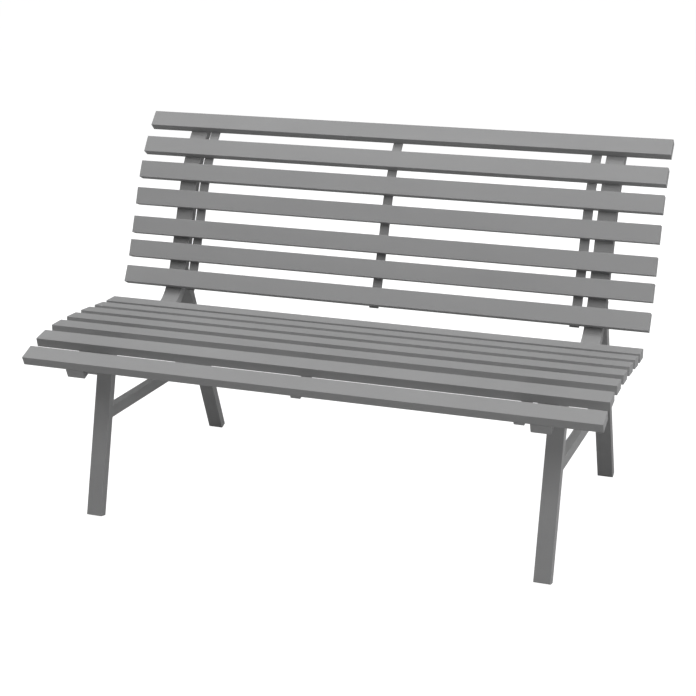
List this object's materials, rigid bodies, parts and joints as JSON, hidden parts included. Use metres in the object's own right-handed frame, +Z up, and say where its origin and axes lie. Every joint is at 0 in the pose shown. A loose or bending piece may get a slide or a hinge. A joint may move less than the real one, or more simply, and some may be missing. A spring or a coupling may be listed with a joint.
{
  "type": "garden bench",
  "caption": "Slatted garden bench of powder-coated steel tube: a curved seat and a reclined back of parallel slats on splayed side frames.",
  "frame": {"origin": "on the ground, under the middle of the bench's box", "axes": "+X along the slats, to the right as seen from the front; +Y to the rear; +Z up"},
  "size_m": [1.24, 0.7157, 0.8063],
  "materials": {
    "powder_coat": "satin grey powder coat with a fine orange peel",
    "foot_plastic": "matt grey moulded plastic",
    "zinc_steel": "zinc-plated steel"
  },
  "bodies": {
    "root": {"back_bolts": "zinc_steel", "back_rivet_nuts": "zinc_steel", "back_slat_1": "powder_coat", "back_slat_1_end_plates": "powder_coat", "back_slat_2": "powder_coat", "back_slat_2_end_plates": "powder_coat", "back_slat_3": "powder_coat", "back_slat_3_end_plates": "powder_coat", "back_slat_4": "powder_coat", "back_slat_4_end_plates": "powder_coat", "back_slat_5": "powder_coat", "back_slat_5_end_plates": "powder_coat", "back_slat_6": "powder_coat", "back_slat_6_end_plates": "powder_coat", "back_slat_7": "powder_coat", "back_slat_7_end_plates": "powder_coat", "back_washers": "zinc_steel", "centre_back_strap": "powder_coat", "centre_seat_strap": "powder_coat", "left_back_strap": "powder_coat", "left_front_foot_plug": "foot_plastic", "left_front_leg": "powder_coat", "left_rail_front_plate": "powder_coat", "left_rail_top_plate": "powder_coat", "left_rear_foot_plug": "foot_plastic", "left_rear_leg": "powder_coat", "left_seat_strap": "powder_coat", "left_side_rail": "powder_coat", "left_stretcher": "powder_coat", "right_back_strap": "powder_coat", "right_front_foot_plug": "foot_plastic", "right_front_leg": "powder_coat", "right_rail_front_plate": "powder_coat", "right_rail_top_plate": "powder_coat", "right_rear_foot_plug": "foot_plastic", "right_rear_leg": "powder_coat", "right_seat_strap": "powder_coat", "right_side_rail": "powder_coat", "right_stretcher": "powder_coat", "seat_bolts": "zinc_steel", "seat_rivet_nuts": "zinc_steel", "seat_slat_1": "powder_coat", "seat_slat_1_end_plates": "powder_coat", "seat_slat_2": "powder_coat", "seat_slat_2_end_plates": "powder_coat", "seat_slat_3": "powder_coat", "seat_slat_3_end_plates": "powder_coat", "seat_slat_4": "powder_coat", "seat_slat_4_end_plates": "powder_coat", "seat_slat_5": "powder_coat", "seat_slat_5_end_plates": "powder_coat", "seat_slat_6": "powder_coat", "seat_slat_6_end_plates": "powder_coat", "seat_slat_7": "powder_coat", "seat_slat_7_end_plates": "powder_coat", "seat_washers": "zinc_steel"}
  },
  "joints": []
}
